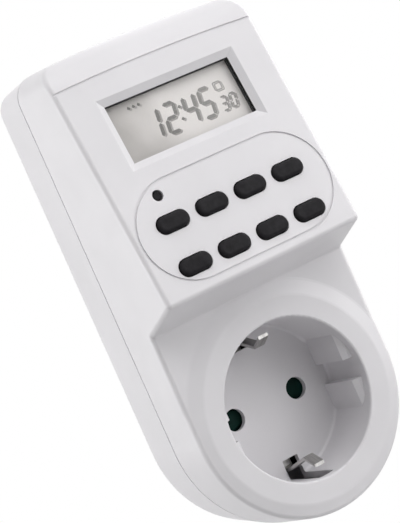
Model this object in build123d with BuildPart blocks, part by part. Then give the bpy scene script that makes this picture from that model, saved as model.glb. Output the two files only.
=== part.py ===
from build123d import *

import os
from math import cos, radians, sin, tan

os.makedirs("parts", exist_ok=True)

# Digital plug-in timer, in millimetres.
# X runs to the right as seen from the front, Y runs from the front towards the wall and
# Z runs up the case. The origin is on the axis of plug and socket, in the case's back.
# A depth is a distance in front of that back, so it lies at Y = -depth.

# Household plug and socket
pin_pitch = 19.0
pin_radius = 2.4
pin_length = 19.0
pin_shoulder = 3.0
pin_head_radius = 4.0
pin_head_length = 2.2
pin_tip_radius = 1.8
plug_radius = 18.7
plug_length = 17.0
plug_flat = 16.9
plug_rib_width = 4.9
plug_rib_height = 1.4
plug_end_wall = 1.8
plug_end_radius = 1.0
recess_radius = 19.8
recess_depth = 17.5
recess_floor = 13.5
floor_thickness = 1.6
cup_wall = 1.6
pin_hole_radius = 2.8
guide_flat = 17.3
guide_gap = 5.4
guide_setback = 2.7
guide_bevel = 1.2
rim_radius = 0.5
floor_radius = 0.8

# Case shells
case_margin = 11.6
case_top = 97.1
case_crown = 1.3
case_corner = 6.0
front_draft = 2.7
rear_draft = 3.3
wall = 2.0
rear_depth = 16.8
back_radius = 2.5
edge_radius = 1.2
seam_groove = 0.2
tongue_length = 1.4
tongue_gap = 0.15
socket_face = 30.05
collar_height = 0.95
collar_bevel = 3.94
collar_overrun = 0.6
collar_softness = 3.0
step_dip = 0.8
valley_radius = 0.8

# Tilted panel, measured along the face from its middle
face_tilt = 10.15
face_depth = 40.35
face_height = 55.0
face_foot = -21.6
face_head = 34.0
head_radius = 11.0
head_groove_sag = 0.83
groove_width = 0.6
groove_depth = 0.35
keypad_length = 53.7
keypad_width = 26.3
keypad_middle = -6.35

# Display
window_width = 35.2
window_height = 14.8
window_middle = 19.78
window_bevel = 1.85
window_sink = 1.05
pane_thickness = 1.0
pane_edge = 1.6
frame_lip = 1.0
frame_side = 1.1
glass_margin = 1.7
glass_thickness = 1.8
strip_thickness = 2.0

# Keys
key_length = 8.4
key_width = 4.0
key_pitch = 11.04
key_columns = 4
upper_row = -3.78
lower_row = -14.78
key_proud = 1.0
key_gap = 0.3
key_crown = 0.8
key_flange = 0.7
key_flange_thickness = 0.8
key_travel = 0.8
pill_length = 5.6
pill_width = 2.6
mat_thickness = 0.6
reset_radius = 1.1
reset_sink = 0.4
reset_across = -16.75
reset_along = 3.23

# Boards and what is on them
board_thickness = 1.6
board_corner = 1.0
logic_depth = 6.3
logic_side_gap = 4.0
logic_foot = -20.5
logic_head = 31.0
logic_boss_radius = 1.9
logic_boss_gap = 0.55
logic_boss_low = -9.28
logic_boss_high = 27.0
chip_across = -8.0
chip_along = -6.0
chip_side = 10.0
chip_height = 1.6
lead_count = 8
lead_pitch = 1.0
lead_length = 0.6
lead_thickness = 0.3
crystal_across = -18.5
crystal_along = -6.0
crystal_radius = 1.0
crystal_length = 6.0
cell_across = 11.0
cell_along = 10.0
cell_radius = 7.75
cell_height = 6.0
tab_thickness = 0.3
tab_width = 4.0
power_standoff = 1.4
power_boss_radius = 2.3
power_foot = 24.0
power_head = 83.0
power_side_gap = 4.2
power_screw_side = 3.5
power_screw_inset = 3.4
small_screw_radius = 1.0
small_head_radius = 1.8
small_head_height = 1.2
small_screw_length = 3.6
film_across = 14.0
film_height = 42.0
film_length = 18.0
film_width = 8.5
film_reach = 14.5
can_across = 2.0
can_height = 34.0
can_radius = 4.0
can_reach = 11.5
lead_radius = 0.3
diode_across = -8.0
diode_gap = 7.5
diode_pitch = 4.5
diode_count = 4
diode_radius = 1.35
diode_length = 5.2
resistor_across = 15.0
resistor_pitch = 6.0
resistor_radius = 2.2
resistor_length = 11.0
disc_across = -19.0
disc_height = 68.0
disc_radius = 4.5
disc_thickness = 3.4
component_edge = 0.6
cable_width = 6.0
cable_thickness = 0.9
cable_inset = 4.0
cable_along = 27.0
cable_bend = 2.0
cable_stub = 5.0

# Relay
relay_across = -12.0
relay_height = 44.0
relay_width = 12.7
relay_length = 29.0
relay_reach = 15.7
relay_base_height = 2.0
relay_wall = 0.8
coil_radius = 4.0
coil_length = 11.6
coil_inset = 2.4
bobbin_flange = 8.4
core_radius = 1.7
iron = 1.2
yoke_rise = 2.0
armature_gap = 0.3
armature_inset = 2.0
pole_gap = 0.7
blade_inset = 0.6
blade_thickness = 0.3
button_radius = 0.8
button_height = 0.6
button_seat = 0.15
button_gap = 0.55

# Contacts, shutter and fasteners
strip = 0.8
strip_width = 4.0
contact_length = 15.0
contact_wall = 0.75
contact_slit = 1.0
tail_gap = 1.0
feed_lap = 2.0
feed_offset = 3.4
rivet_radius = 1.5
flange_reach = 19.5
flange_thickness = 2.5
earth_sheet = 0.8
earth_width = 4.0
earth_sink = 1.0
clip_width = 2.8
clip_crest = 14.4
clip_crest_depth = 23.0
clip_tip = 16.5
clip_tip_depth = 27.0
shutter_thickness = 1.7
shutter_reach = 13.2
shutter_half_angle = 18.5
shutter_hub = 4.2
pivot_radius = 2.0
lug_width = 1.6
lug_reach = 6.4
spring_radius = 0.72
spring_wire = 0.34
spring_turns = 6
spring_stop = 7.2
stop_width = 1.6
stop_height = 2.9
shutter_gap = 0.5
screw_radius = 1.3
screw_head_radius = 2.3
screw_head_height = 2.0
screw_length = 18.0
screw_seat = 8.0
boss_radius = 2.5
boss_bite = 0.5
post_radius = 3.2
top_screw_side = 7.7
top_screw_inset = 8.6

# Clearances
running = 0.05
slip = 0.3
seat = 0.2

# Overlap given to cutting tools, how near counts as the same place, and how near as close by
reach = 5.0
nearly = 0.01
close_by = 0.1

tilt = radians(face_tilt)
rim = recess_floor + recess_depth
case_half_width = window_width / 2 + case_margin
step_foot = case_half_width - step_dip
glass_width = window_width + 2 * glass_margin
glass_height = window_height + 2 * glass_margin
frame_width = glass_width + 2 * (running + frame_side)
frame_height = glass_height + 2 * (running + frame_side)
logic_half_width = case_half_width - logic_side_gap
logic_boss_across = frame_width / 2 + logic_boss_gap + logic_boss_radius
power_half_width = case_half_width - power_side_gap
power_screw_across = power_half_width - power_screw_side
top_screw_across = case_half_width - top_screw_side
floor_back = recess_floor - floor_thickness
pin_across = pin_pitch / 2
logic_back = logic_depth + board_thickness
power_back = wall + power_standoff
power_front = power_back + board_thickness
diode_height = relay_height + relay_length / 2 + diode_gap
shutter_front = floor_back - slip
shutter_back = shutter_front - shutter_thickness
spring_height = lug_reach - spring_radius - spring_wire
earth_slot = earth_width + 2 * slip
front_reach = face_depth + reach - rear_depth


def front_plane(depth):
    """Plane across the case at a depth, drawn as seen from the front."""
    return Plane(origin=(0, -depth, 0), x_dir=(1, 0, 0), z_dir=(0, -1, 0))


def face_point(along, under=0.0):
    """Y and Z of a point on the tilted face, or under it."""
    y = -face_depth + along * sin(tilt) + under * cos(tilt)
    z = face_height + along * cos(tilt) - under * sin(tilt)
    return y, z


def face_plane(under, across=0.0, along=0.0):
    """Plane parallel to the tilted face and under it, drawn as seen from the front."""
    origin = (across, *face_point(along, under))
    return Plane(origin=origin, x_dir=(1, 0, 0), z_dir=(0, -cos(tilt), sin(tilt)))


def side_plane(across):
    """Plane square to X, with Y across and Z up."""
    return Plane(origin=(across, 0, 0), x_dir=(0, 1, 0), z_dir=(1, 0, 0))


face_outward = Axis((0, 0, 0), (0, -cos(tilt), sin(tilt)))

# Outline of the case seen from the front: half round below, crowned on top
shoulder = case_top - case_crown
with BuildSketch() as case_outline:
    with BuildLine():
        Line((case_half_width, 0), (case_half_width, shoulder))
        ThreePointArc((case_half_width, shoulder), (0, case_top), (-case_half_width, shoulder))
        Line((-case_half_width, shoulder), (-case_half_width, 0))
        ThreePointArc((-case_half_width, 0), (0, -case_half_width), (case_half_width, 0))
    make_face()
    fillet(case_outline.vertices().group_by(Axis.Y)[-1], case_corner)

# Side view of the front shell: socket face, slope, tilted face and rounded head
head_start = face_point(face_head)
head_middle = (head_start[0] + head_radius * cos(tilt), head_start[1] - head_radius * sin(tilt))
head_end = (head_middle[0], head_middle[1] + head_radius)
half_turn = (radians(90) + tilt) / 2
head_half = (
    head_middle[0] - head_radius * cos(half_turn),
    head_middle[1] + head_radius * sin(half_turn),
)
behind_seam = -rear_depth + reach
below_case = -case_half_width - reach
with BuildSketch() as side_view:
    with BuildLine():
        Polyline(
            (behind_seam, below_case),
            (-socket_face, below_case),
            (-socket_face, step_foot),
            face_point(face_foot),
            head_start,
        )
        ThreePointArc(head_start, head_half, head_end)
        Polyline(head_end, (behind_seam, head_end[1]), (behind_seam, below_case))
    make_face()


def front_form(inset):
    """Body of the front shell, drawn in by inset on every side."""
    with BuildPart() as form:
        with BuildSketch(front_plane(rear_depth)):
            add(case_outline.sketch)
            if inset:
                offset(amount=-inset)
        extrude(amount=front_reach, taper=front_draft)
        with BuildSketch(Plane.YZ):
            add(side_view.sketch)
            if inset:
                offset(amount=-inset, kind=Kind.INTERSECTION)
        extrude(amount=case_half_width + reach, both=True, mode=Mode.INTERSECT)
    return form.part


def rear_form(inset):
    """Body of the rear shell, drawn in by inset on every side."""
    with BuildPart() as form:
        with BuildSketch(Plane(origin=(0, -rear_depth, 0), x_dir=(-1, 0, 0), z_dir=(0, 1, 0))):
            add(case_outline.sketch)
            if inset:
                offset(amount=-inset)
        extrude(amount=rear_depth - inset, taper=rear_draft)
    return form.part


def seam_band(outer_inset, inner_inset, depth, length):
    """Ring that follows the case outline, from a depth and on towards the wall."""
    with BuildPart() as band:
        with BuildSketch(front_plane(depth)):
            add(case_outline.sketch)
            offset(amount=-outer_inset)
        extrude(amount=-length)
        with BuildSketch(front_plane(depth)):
            add(case_outline.sketch)
            offset(amount=-inner_inset)
        extrude(amount=-length, mode=Mode.SUBTRACT)
    return band.part


def flush_edges(part, depth):
    """Edges that lie wholly in the plane at a depth."""
    return part.edges().filter_by_position(Axis.Y, -depth - nearly, -depth + nearly)


# Raised collar round the socket, cut to the case outline
socket_half_width = case_half_width - (socket_face - rear_depth) * tan(radians(front_draft))
collar_foot = socket_half_width + collar_overrun
collar_flat = collar_foot - collar_bevel
with BuildPart() as collar:
    with BuildSketch():
        with BuildLine():
            Polyline(
                (0, -rear_depth - reach),
                (0, -socket_face - collar_height),
                (collar_flat, -socket_face - collar_height),
                (collar_foot, -socket_face),
                (collar_foot, -rear_depth - reach),
                close=True,
            )
        make_face()
    revolve(axis=Axis.Y)
    with BuildSketch(front_plane(rear_depth)):
        add(case_outline.sketch)
    extrude(amount=front_reach, taper=front_draft, mode=Mode.INTERSECT)

# Outside of the front shell with all its soft edges
with BuildPart() as front_outside:
    add(front_form(0))
    add(collar.part)
    foot_ring = [
        edge
        for edge in front_outside.edges().filter_by(GeomType.CIRCLE)
        if abs(edge.radius - collar_foot) < nearly and abs(edge.center().Y + socket_face) < nearly
    ]
    fillet(foot_ring, collar_softness)
    flat_ring = [
        edge
        for edge in front_outside.edges().filter_by(GeomType.CIRCLE)
        if abs(edge.radius - collar_flat) < nearly
    ]
    fillet(flat_ring, collar_softness)
    valley = [
        edge
        for edge in front_outside.edges()
        if abs(edge.center().Z - step_foot) < close_by
        and edge.bounding_box().size.Z < close_by
    ]
    fillet(valley, valley_radius)
    side_walls = [
        face
        for face in front_outside.faces()
        if face.bounding_box().max.Y > -rear_depth - nearly
        and face.bounding_box().size.Y > close_by
    ]
    brow = face_point(face_foot)
    front_edges = [
        edge
        for edge in front_outside.edges().filter_by(GeomType.LINE)
        if abs(edge.center().Y - brow[0]) < close_by
        and abs(edge.center().Z - brow[1]) < close_by
    ]
    for side_wall in side_walls:
        for edge in side_wall.edges():
            listed = any(edge.is_same(other) for other in front_edges)
            if edge.bounding_box().max.Y < -rear_depth - close_by and not listed:
                front_edges.append(edge)
    fillet(front_edges, edge_radius)
    seam_front = rear_depth + seam_groove
    add(seam_band(-seam_groove, seam_groove, seam_front, seam_groove), mode=Mode.SUBTRACT)

front_inside = front_form(wall)
front_middle = front_form(wall / 2)

# Where the four case screws go: two beside the socket cup, two in the head
cup_radius = recess_radius + cup_wall
low_screw = (cup_radius + boss_radius - boss_bite) * sin(radians(45))
top_screw = case_top - top_screw_inset
case_screw_points = [
    (low_screw, -low_screw),
    (-low_screw, -low_screw),
    (top_screw_across, top_screw),
    (-top_screw_across, top_screw),
]
logic_screw_points = [
    (side * logic_boss_across, along)
    for side in (-1, 1)
    for along in (logic_boss_low, logic_boss_high)
]
power_screw_points = [
    (side * power_screw_across, height)
    for side in (-1, 1)
    for height in (power_foot + power_screw_inset, power_head - power_screw_inset)
]
key_points = [
    ((column - (key_columns - 1) / 2) * key_pitch, row)
    for row in (upper_row, lower_row)
    for column in range(key_columns)
]

# Posts inside the front shell that take the case screws
with BuildPart() as front_posts:
    with BuildSketch(front_plane(rear_depth)):
        with Locations(*case_screw_points):
            Circle(boss_radius)
    extrude(amount=front_reach)
    with BuildSketch(face_plane(wall / 2)):
        with Locations(*logic_screw_points):
            Circle(logic_boss_radius)
    extrude(amount=wall / 2 - logic_depth)
    add(front_middle, mode=Mode.INTERSECT)
    with BuildSketch(front_plane(floor_back)):
        with Locations(*case_screw_points):
            Circle(boss_radius)
    extrude(amount=rear_depth - floor_back)

# Guide blocks on both sides of the recess, in pairs with a gap between them
guide_front = rim - guide_setback
with BuildPart() as guide_blocks:
    with BuildSketch(front_plane(recess_floor)):
        for side in (-1, 1):
            for end in (-1, 1):
                with Locations((side * (guide_flat + reach), end * (guide_gap / 2 + reach))):
                    Rectangle(2 * reach, 2 * reach)
        Circle(recess_radius + cup_wall / 2, mode=Mode.INTERSECT)
    extrude(amount=guide_front - recess_floor)
    guide_edges = [
        edge
        for edge in flush_edges(guide_blocks, guide_front).filter_by(GeomType.LINE)
        if abs(abs(edge.center().X) - guide_flat) < nearly
    ]
    chamfer(guide_edges, guide_bevel)

# Space of the round recess, softened at its floor
with BuildPart() as recess_space:
    with BuildSketch(front_plane(recess_floor)):
        Circle(recess_radius)
    extrude(amount=recess_depth + reach)
    fillet(flush_edges(recess_space, recess_floor), floor_radius)

# Front shell
slot_foot = clip_crest + slip
slot_height = cup_radius + slip - slot_foot
with BuildPart() as front_case:
    add(front_outside.part)
    add(front_inside, mode=Mode.SUBTRACT)
    with BuildSketch(front_plane(floor_back)):
        Circle(cup_radius)
    extrude(amount=socket_face - floor_back)
    add(front_posts.part)
    with BuildSketch(front_plane(floor_back)):
        Circle(pivot_radius)
    extrude(amount=-(shutter_thickness + slip + seat))
    with BuildSketch(front_plane(floor_back)):
        with Locations((spring_stop + stop_width / 2, spring_height)):
            Rectangle(stop_width, stop_height)
    extrude(amount=-(shutter_thickness + slip))
    add(recess_space.part, mode=Mode.SUBTRACT)
    add(guide_blocks.part)
    with BuildSketch(front_plane(floor_back)):
        with Locations((-pin_across, 0), (pin_across, 0)):
            Circle(pin_hole_radius)
    extrude(amount=floor_thickness + reach, mode=Mode.SUBTRACT)
    with BuildSketch(front_plane(floor_back)):
        for side in (-1, 1):
            with Locations((0, side * (slot_foot + slot_height / 2))):
                Rectangle(earth_slot, slot_height)
    extrude(amount=socket_face - wall - floor_back, mode=Mode.SUBTRACT)
    tongue_face = wall / 2 + tongue_gap
    add(seam_band(tongue_face, wall, rear_depth + tongue_length, 2 * tongue_length))
    with BuildSketch(front_plane(screw_seat)):
        with Locations(*case_screw_points):
            Circle(screw_radius)
    extrude(amount=screw_length, mode=Mode.SUBTRACT)
    with BuildSketch(face_plane(logic_depth)):
        with Locations(*logic_screw_points):
            Circle(small_screw_radius)
    extrude(amount=small_screw_length - board_thickness, mode=Mode.SUBTRACT)
    with BuildSketch(face_plane(0, along=window_middle)):
        Rectangle(window_width + 2 * window_bevel, window_height + 2 * window_bevel)
    with BuildSketch(face_plane(window_sink, along=window_middle)):
        Rectangle(window_width, window_height)
    loft(mode=Mode.SUBTRACT)
    with BuildSketch(face_plane(window_sink, along=window_middle)):
        Rectangle(
            window_width + 2 * (pane_edge + running), window_height + 2 * (pane_edge + running)
        )
    extrude(amount=-wall, mode=Mode.SUBTRACT)
    with BuildSketch(face_plane(-reach)):
        with Locations(*key_points):
            SlotOverall(key_length + 2 * key_gap, key_width + 2 * key_gap)
        with Locations((reset_across, reset_along)):
            Circle(reset_radius + key_gap)
    extrude(amount=-(reach + wall + slip), mode=Mode.SUBTRACT)
    with BuildSketch(face_plane(0)):
        with Locations((0, keypad_middle)):
            SlotOverall(keypad_length, keypad_width)
            SlotOverall(
                keypad_length - 2 * groove_width, keypad_width - 2 * groove_width, mode=Mode.SUBTRACT
            )
    extrude(amount=-groove_depth, mode=Mode.SUBTRACT)
    head_groove_radius = case_half_width**2 / (2 * head_groove_sag)
    with BuildSketch(face_plane(0)):
        with Locations((0, face_head + head_groove_sag - head_groove_radius)):
            Circle(head_groove_radius + groove_width / 2)
            Circle(head_groove_radius - groove_width / 2, mode=Mode.SUBTRACT)
        with Locations((0, face_head)):
            Rectangle(2 * case_half_width, 2 * reach, mode=Mode.INTERSECT)
    extrude(amount=-groove_depth, mode=Mode.SUBTRACT)
    rim_edge = [
        edge
        for edge in flush_edges(front_case, rim).filter_by(GeomType.CIRCLE)
        if abs(edge.radius - recess_radius) < nearly
    ]
    fillet(rim_edge, rim_radius)
front_case.part.label = "front_case"
export_step(front_case.part, "parts/front_case.step")

# Posts inside the rear shell that take the case screws and the power board
with BuildPart() as rear_posts:
    with BuildSketch(front_plane(wall)):
        with Locations(*case_screw_points):
            Circle(post_radius)
    extrude(amount=floor_back - seat - wall)
    with BuildSketch(front_plane(wall)):
        with Locations(*power_screw_points):
            Circle(power_boss_radius)
    extrude(amount=power_standoff)
    add(rear_form(wall / 2), mode=Mode.INTERSECT)

# Rear shell with the round plug body
plug_inner_radius = plug_radius - plug_end_wall
plug_inner_width = plug_flat - plug_end_wall
groove_floor = plug_radius - earth_sink - earth_sheet
plug_inner_height = groove_floor - plug_end_wall
with BuildPart() as rear_case:
    add(rear_form(0))
    fillet(flush_edges(rear_case, 0), back_radius)
    add(seam_band(-seam_groove, seam_groove, rear_depth, seam_groove), mode=Mode.SUBTRACT)
    add(rear_form(wall), mode=Mode.SUBTRACT)
    with BuildSketch(front_plane(rear_depth)):
        add(case_outline.sketch)
        offset(amount=-wall / 2)
    extrude(amount=-(tongue_length + slip), mode=Mode.SUBTRACT)
    with BuildSketch(front_plane(0)):
        Circle(plug_radius)
        for side in (-1, 1):
            with Locations((side * (plug_flat + reach), 0)):
                Rectangle(2 * reach, 2 * plug_radius, mode=Mode.SUBTRACT)
            with Locations((side * (plug_flat + plug_rib_height / 2 - seat), 0)):
                Rectangle(plug_rib_height + 2 * seat, plug_rib_width)
    extrude(amount=-plug_length)
    fillet(flush_edges(rear_case, -plug_length), plug_end_radius)
    add(rear_posts.part)
    with BuildSketch(front_plane(wall + reach)):
        Circle(plug_inner_radius)
        Rectangle(2 * plug_inner_width, 2 * plug_inner_height, mode=Mode.INTERSECT)
    extrude(amount=-(reach + wall + plug_length - plug_end_wall), mode=Mode.SUBTRACT)
    with BuildSketch(front_plane(wall)):
        for side in (-1, 1):
            with Locations((0, side * (groove_floor + plug_radius) / 2)):
                Rectangle(earth_slot, plug_radius - groove_floor + 2 * running)
    extrude(amount=-(wall + plug_length), mode=Mode.SUBTRACT)
    with BuildSketch(front_plane(-plug_length)):
        with Locations((-pin_across, 0), (pin_across, 0)):
            Circle(pin_shoulder + running)
    extrude(amount=plug_end_wall + reach, mode=Mode.SUBTRACT)
    with BuildSketch(front_plane(rear_depth)):
        with Locations(*case_screw_points):
            Circle(screw_radius + running)
    extrude(amount=-rear_depth, mode=Mode.SUBTRACT)
    with BuildSketch(front_plane(0)):
        with Locations(*case_screw_points):
            Circle(screw_head_radius + slip)
    extrude(amount=screw_seat, mode=Mode.SUBTRACT)
    with BuildSketch(front_plane(power_back)):
        with Locations(*power_screw_points):
            Circle(small_screw_radius)
    extrude(amount=board_thickness - small_screw_length, mode=Mode.SUBTRACT)
rear_case.part.label = "rear_case"
export_step(rear_case.part, "parts/rear_case.step")

# Clear pane behind the window bevel
with BuildPart() as display_window:
    with BuildSketch(face_plane(window_sink, along=window_middle)):
        Rectangle(window_width + 2 * pane_edge, window_height + 2 * pane_edge)
    extrude(amount=-pane_thickness)
display_window.part.label = "display_window"
export_step(display_window.part, "parts/display_window.step")

# Dark frame that stands on the logic board and carries the glass
frame_top = window_sink + pane_thickness
glass_top = frame_top + frame_lip
glass_back = glass_top + glass_thickness
with BuildPart() as display_frame:
    with BuildSketch(face_plane(frame_top, along=window_middle)):
        Rectangle(frame_width, frame_height)
    extrude(amount=frame_top - logic_depth)
    with BuildSketch(face_plane(frame_top, along=window_middle)):
        Rectangle(window_width, window_height)
    extrude(amount=frame_top - logic_depth, mode=Mode.SUBTRACT)
    with BuildSketch(face_plane(glass_top, along=window_middle)):
        Rectangle(glass_width + 2 * running, glass_height + 2 * running)
    extrude(amount=glass_top - logic_depth, mode=Mode.SUBTRACT)
display_frame.part.label = "display_frame"
export_step(display_frame.part, "parts/display_frame.step")

# Display glass
with BuildPart() as display_glass:
    with BuildSketch(face_plane(glass_top, along=window_middle)):
        Rectangle(glass_width, glass_height)
    extrude(amount=-glass_thickness)
display_glass.part.label = "display_glass"
export_step(display_glass.part, "parts/display_glass.step")

# Two rubber strips that join the glass to the logic board
strip_along = (glass_height - strip_thickness) / 2 - slip
with BuildPart() as contact_strips:
    with BuildSketch(face_plane(glass_back, along=window_middle)):
        with Locations((0, strip_along), (0, -strip_along)):
            Rectangle(window_width, strip_thickness)
    extrude(amount=glass_back - logic_depth)
contact_strips.part.label = "contact_strips"
export_step(contact_strips.part, "parts/contact_strips.step")

# Eight sprung rubber keys, upper row first, left to right
flange_top = wall + slip
pill_end = logic_depth - slip - key_travel
for number, key_point in enumerate(key_points, start=1):
    with BuildPart() as key:
        with BuildSketch(face_plane(flange_top)):
            with Locations(key_point):
                SlotOverall(key_length, key_width)
        extrude(amount=flange_top + key_proud)
        fillet(key.faces().sort_by(face_outward)[-1].edges(), key_crown)
        with BuildSketch(face_plane(flange_top)):
            with Locations(key_point):
                SlotOverall(key_length + 2 * key_flange, key_width + 2 * key_flange)
        extrude(amount=-key_flange_thickness)
        with BuildSketch(face_plane(flange_top + key_flange_thickness)):
            with Locations(key_point):
                SlotOverall(pill_length, pill_width)
        extrude(amount=flange_top + key_flange_thickness - pill_end)
    key.part.label = f"key_{number}"
    export_step(key.part, f"parts/key_{number}.step")

# Small round reset key, sunk under the face
reset_point = (reset_across, reset_along)
with BuildPart() as reset_key:
    with BuildSketch(face_plane(flange_top)):
        with Locations(reset_point):
            Circle(reset_radius)
    extrude(amount=flange_top - reset_sink)
    fillet(reset_key.faces().sort_by(face_outward)[-1].edges(), slip)
    with BuildSketch(face_plane(flange_top)):
        with Locations(reset_point):
            Circle(reset_radius + key_flange)
    extrude(amount=-key_flange_thickness)
    with BuildSketch(face_plane(flange_top + key_flange_thickness)):
        with Locations(reset_point):
            Circle(reset_radius)
    extrude(amount=flange_top + key_flange_thickness - pill_end)
reset_key.part.label = "reset_key"
export_step(reset_key.part, "parts/reset_key.step")

# Rubber mat on the logic board, with a hole under each key
mat_half_width = logic_boss_across - logic_boss_radius - slip
mat_head = window_middle - frame_height / 2 - slip
mat_foot = lower_row - key_width / 2 - key_flange
with BuildPart() as key_mat:
    with BuildSketch(face_plane(logic_depth)):
        with Locations((0, (mat_head + mat_foot) / 2)):
            RectangleRounded(2 * mat_half_width, mat_head - mat_foot, board_corner)
        with Locations(*key_points):
            SlotOverall(pill_length + 2 * slip, pill_width + 2 * slip, mode=Mode.SUBTRACT)
        with Locations(reset_point):
            Circle(reset_radius + slip, mode=Mode.SUBTRACT)
    extrude(amount=mat_thickness)
key_mat.part.label = "key_mat"
export_step(key_mat.part, "parts/key_mat.step")

# Logic board parallel to the face
logic_middle = (logic_foot + logic_head) / 2
with BuildPart() as logic_board:
    with BuildSketch(face_plane(logic_depth)):
        with Locations((0, logic_middle)):
            RectangleRounded(2 * logic_half_width, logic_head - logic_foot, board_corner)
        with Locations(*logic_screw_points):
            Circle(small_screw_radius + running, mode=Mode.SUBTRACT)
    extrude(amount=-board_thickness)
logic_board.part.label = "logic_board"
export_step(logic_board.part, "parts/logic_board.step")

# Four screws that hold the logic board to the front shell
with BuildPart() as logic_screws:
    with BuildSketch(face_plane(logic_back)):
        with Locations(*logic_screw_points):
            Circle(small_head_radius)
    extrude(amount=-small_head_height)
    with BuildSketch(face_plane(logic_back)):
        with Locations(*logic_screw_points):
            Circle(small_screw_radius)
    extrude(amount=small_screw_length)
    with BuildSketch(face_plane(logic_back + small_head_height)):
        with Locations(*logic_screw_points):
            Rectangle(2 * small_screw_radius, small_screw_radius / 2)
            Rectangle(small_screw_radius / 2, 2 * small_screw_radius)
    extrude(amount=small_head_height / 2, mode=Mode.SUBTRACT)
logic_screws.part.label = "logic_screws"
export_step(logic_screws.part, "parts/logic_screws.step")

# Clock chip on the back of the logic board, with a row of leads on each side
chip_point = (chip_across, chip_along)
with BuildPart() as clock_chip:
    with BuildSketch(face_plane(logic_back + lead_thickness)):
        with Locations(chip_point):
            Rectangle(chip_side, chip_side)
    extrude(amount=lead_thickness - chip_height)
    with BuildSketch(face_plane(logic_back)):
        with Locations(chip_point):
            with GridLocations(0, lead_pitch, 1, lead_count):
                Rectangle(chip_side + 2 * lead_length, lead_pitch / 2)
            with GridLocations(lead_pitch, 0, lead_count, 1):
                Rectangle(lead_pitch / 2, chip_side + 2 * lead_length)
    extrude(amount=-lead_thickness)
clock_chip.part.label = "clock_chip"
export_step(clock_chip.part, "parts/clock_chip.step")

# Watch crystal lying beside the chip
crystal_seat = face_point(crystal_along, logic_back + crystal_radius)
with BuildPart() as quartz_crystal:
    with BuildSketch(side_plane(crystal_across)):
        with Locations(crystal_seat):
            Circle(crystal_radius)
    extrude(amount=crystal_length / 2, both=True)
    fillet(quartz_crystal.edges().group_by(Axis.X)[0], slip)
quartz_crystal.part.label = "quartz_crystal"
export_step(quartz_crystal.part, "parts/quartz_crystal.step")

# Backup cell and the two tabs that hold it to the logic board
cell_point = (cell_across, cell_along)
cell_top = logic_back + tab_thickness
with BuildPart() as backup_cell:
    with BuildSketch(face_plane(cell_top)):
        with Locations(cell_point):
            Circle(cell_radius)
    extrude(amount=-cell_height)
    fillet(backup_cell.edges(), component_edge)
backup_cell.part.label = "backup_cell"
export_step(backup_cell.part, "parts/backup_cell.step")

tab_end = cell_across + cell_radius + slip
with BuildPart() as cell_tabs:
    with BuildSketch(face_plane(logic_back)):
        with Locations((cell_across - cell_radius / 2, cell_along)):
            Rectangle(cell_radius, tab_width)
    extrude(amount=-tab_thickness)
    with BuildSketch(face_plane(cell_top + cell_height)):
        with Locations(((cell_across + tab_end) / 2, cell_along)):
            Rectangle(tab_end - cell_across, tab_width)
    extrude(amount=-tab_thickness)
    with BuildSketch(face_plane(logic_back)):
        with Locations((tab_end + tab_thickness / 2, cell_along)):
            Rectangle(tab_thickness, tab_width)
    extrude(amount=-(cell_height + 2 * tab_thickness))
cell_tabs.part.label = "cell_tabs"
export_step(cell_tabs.part, "parts/cell_tabs.step")

# Power board, upright on posts of the rear shell
with BuildPart() as power_board:
    with BuildSketch(front_plane(power_back)):
        with Locations((0, (power_foot + power_head) / 2)):
            RectangleRounded(2 * power_half_width, power_head - power_foot, board_corner)
        with Locations(*power_screw_points):
            Circle(small_screw_radius + running, mode=Mode.SUBTRACT)
    extrude(amount=board_thickness)
power_board.part.label = "power_board"
export_step(power_board.part, "parts/power_board.step")

# Four screws that hold the power board
with BuildPart() as power_screws:
    with BuildSketch(front_plane(power_front)):
        with Locations(*power_screw_points):
            Circle(small_head_radius)
    extrude(amount=small_head_height)
    with BuildSketch(front_plane(power_front)):
        with Locations(*power_screw_points):
            Circle(small_screw_radius)
    extrude(amount=-small_screw_length)
    with BuildSketch(front_plane(power_front + small_head_height)):
        with Locations(*power_screw_points):
            Rectangle(2 * small_screw_radius, small_screw_radius / 2)
            Rectangle(small_screw_radius / 2, 2 * small_screw_radius)
    extrude(amount=-small_head_height / 2, mode=Mode.SUBTRACT)
power_screws.part.label = "power_screws"
export_step(power_screws.part, "parts/power_screws.step")


def axial_component(across, height, body_radius, body_length):
    """Part lying on the power board along Z, with its two leads bent down to the board."""
    middle = power_front + body_radius + slip
    span = body_length / 2 + 2 * body_radius
    with BuildPart() as component:
        with BuildSketch(Plane.XY.offset(height)):
            with Locations((across, -middle)):
                Circle(body_radius)
        extrude(amount=body_length / 2, both=True)
        fillet(component.edges(), body_radius / 4)
        with BuildSketch(Plane.XY.offset(height)):
            with Locations((across, -middle)):
                Circle(lead_radius)
        extrude(amount=span, both=True)
        with BuildSketch(front_plane(power_front)):
            with Locations((across, height + span), (across, height - span)):
                Circle(lead_radius)
        extrude(amount=middle - power_front + lead_radius)
    return component.part


# Relay: base, iron, coil, armature, fixed contact and cover
relay_front = power_front + relay_base_height
relay_top = power_front + relay_reach
coil_middle = relay_front + relay_base_height / 2 + coil_radius
coil_low = relay_height - relay_length / 2 + relay_wall + coil_inset
coil_high = coil_low + coil_length
yoke_top = relay_top - relay_wall - slip - iron
flange_top_depth = yoke_top - iron - seat
with BuildPart() as relay_base:
    with BuildSketch(front_plane(power_front)):
        with Locations((relay_across, relay_height)):
            Rectangle(relay_width, relay_length)
    extrude(amount=relay_base_height)
relay_base.part.label = "relay_base"
export_step(relay_base.part, "parts/relay_base.step")

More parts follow.
